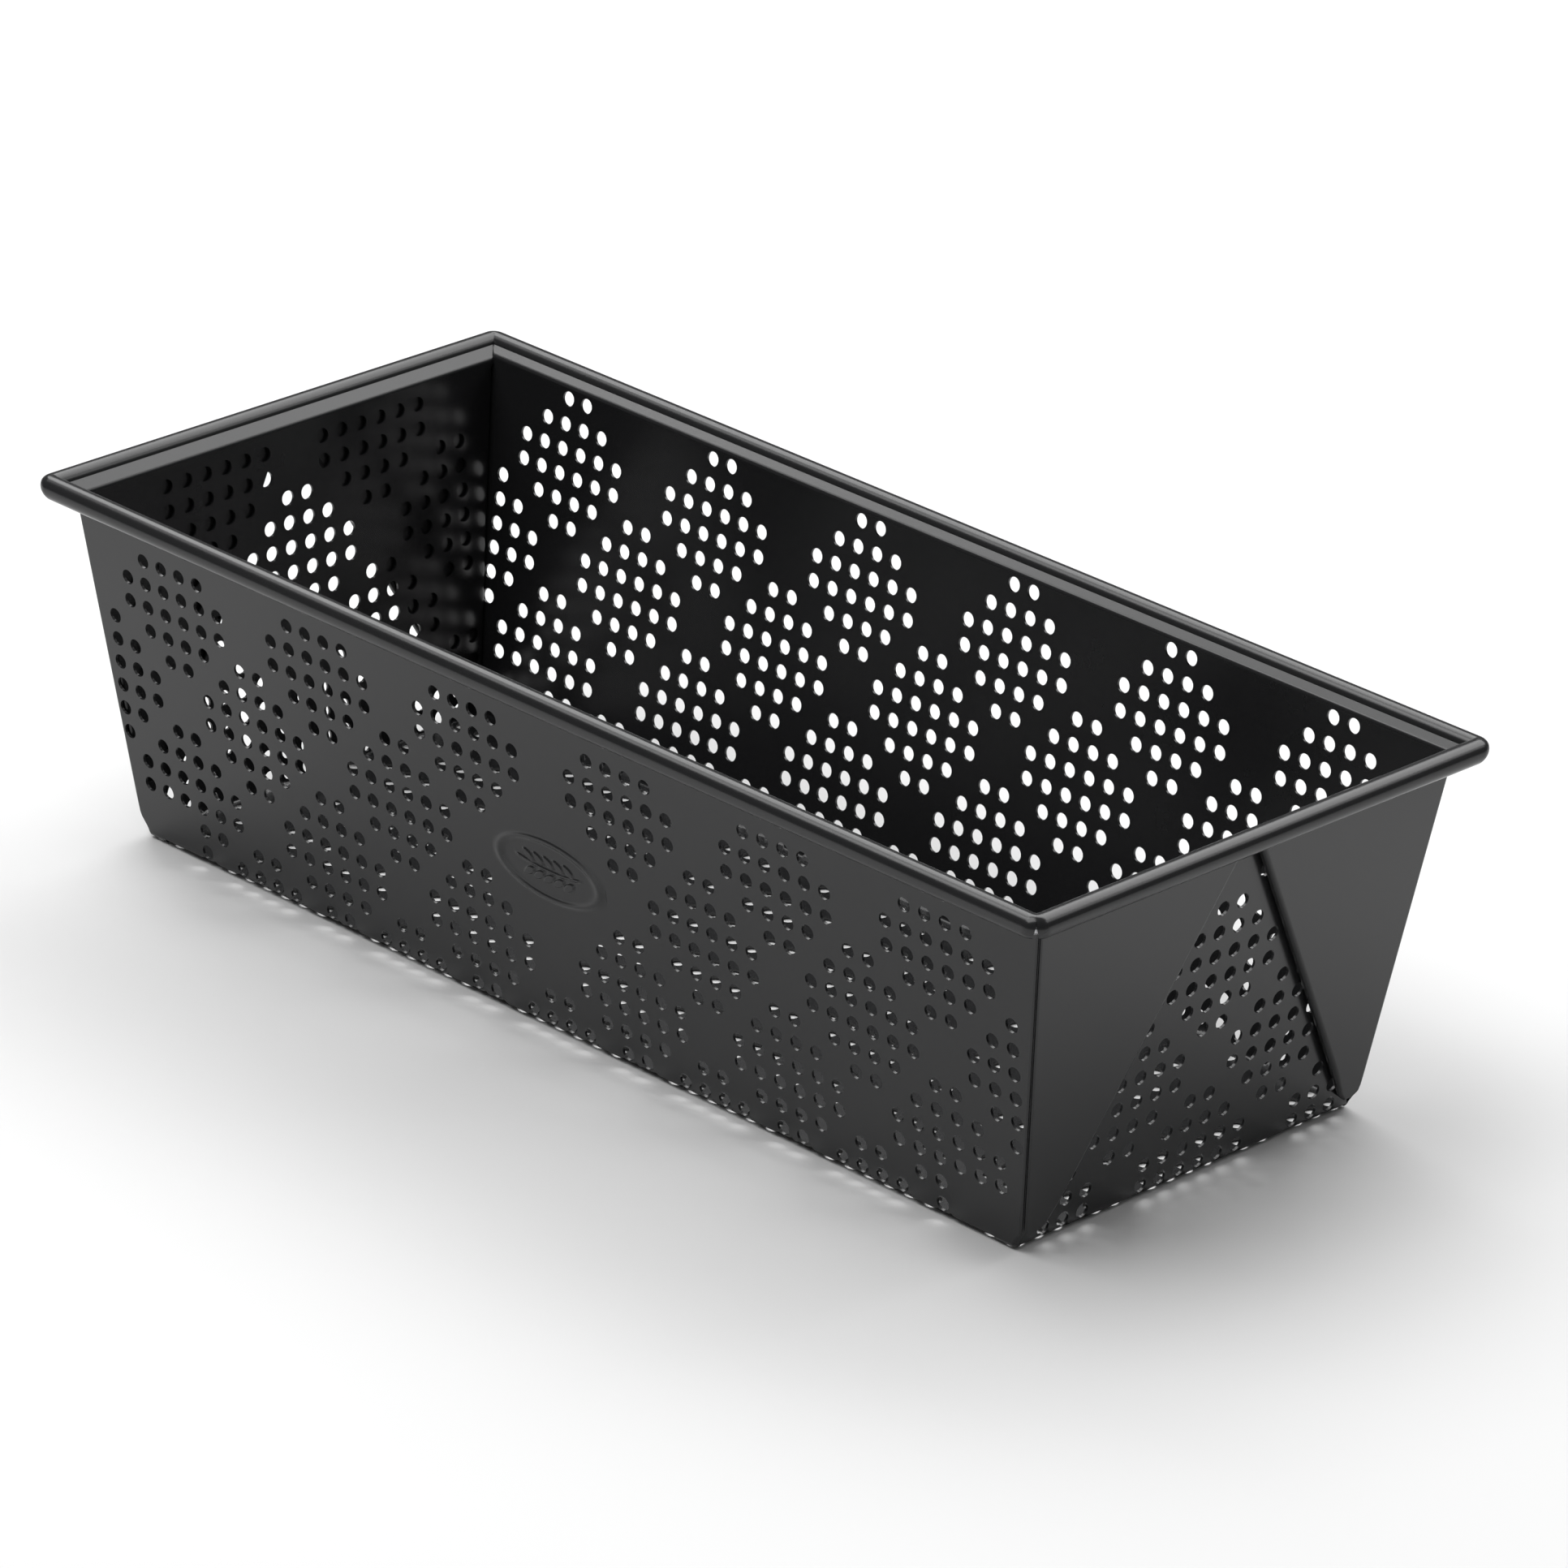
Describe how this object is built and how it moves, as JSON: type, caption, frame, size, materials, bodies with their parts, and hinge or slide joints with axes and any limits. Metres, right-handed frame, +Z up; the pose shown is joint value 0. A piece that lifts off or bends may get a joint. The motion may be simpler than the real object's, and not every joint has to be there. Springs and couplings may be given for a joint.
{
  "type": "loaf pan",
  "caption": "Folded sheet-steel loaf pan with flared perforated walls, double corner ears and a wired rolled rim.",
  "frame": {"origin": "middle of the underside of the base panel, which is also the bottom centre of the bounding box", "axes": "+X along the length of the pan to its right end, +Y across it to the back wall, +Z up out of the opening"},
  "size_m": [0.2616, 0.1196, 0.0739],
  "materials": {
    "coating": "satin non-stick coating",
    "wire_steel": "drawn wire"
  },
  "bodies": {
    "root": {"base_panel": "coating", "right_end_wall": "coating", "left_end_wall": "coating", "back_wall": "coating", "front_wall": "coating", "right_rim_curl": "coating", "left_rim_curl": "coating", "back_rim_curl": "coating", "front_rim_curl": "coating", "rim_wire": "wire_steel", "back_right_ear_inner_leaf": "coating", "back_right_ear_outer_leaf": "coating", "back_left_ear_inner_leaf": "coating", "back_left_ear_outer_leaf": "coating", "front_left_ear_inner_leaf": "coating", "front_left_ear_outer_leaf": "coating", "front_right_ear_inner_leaf": "coating", "front_right_ear_outer_leaf": "coating"}
  },
  "joints": []
}
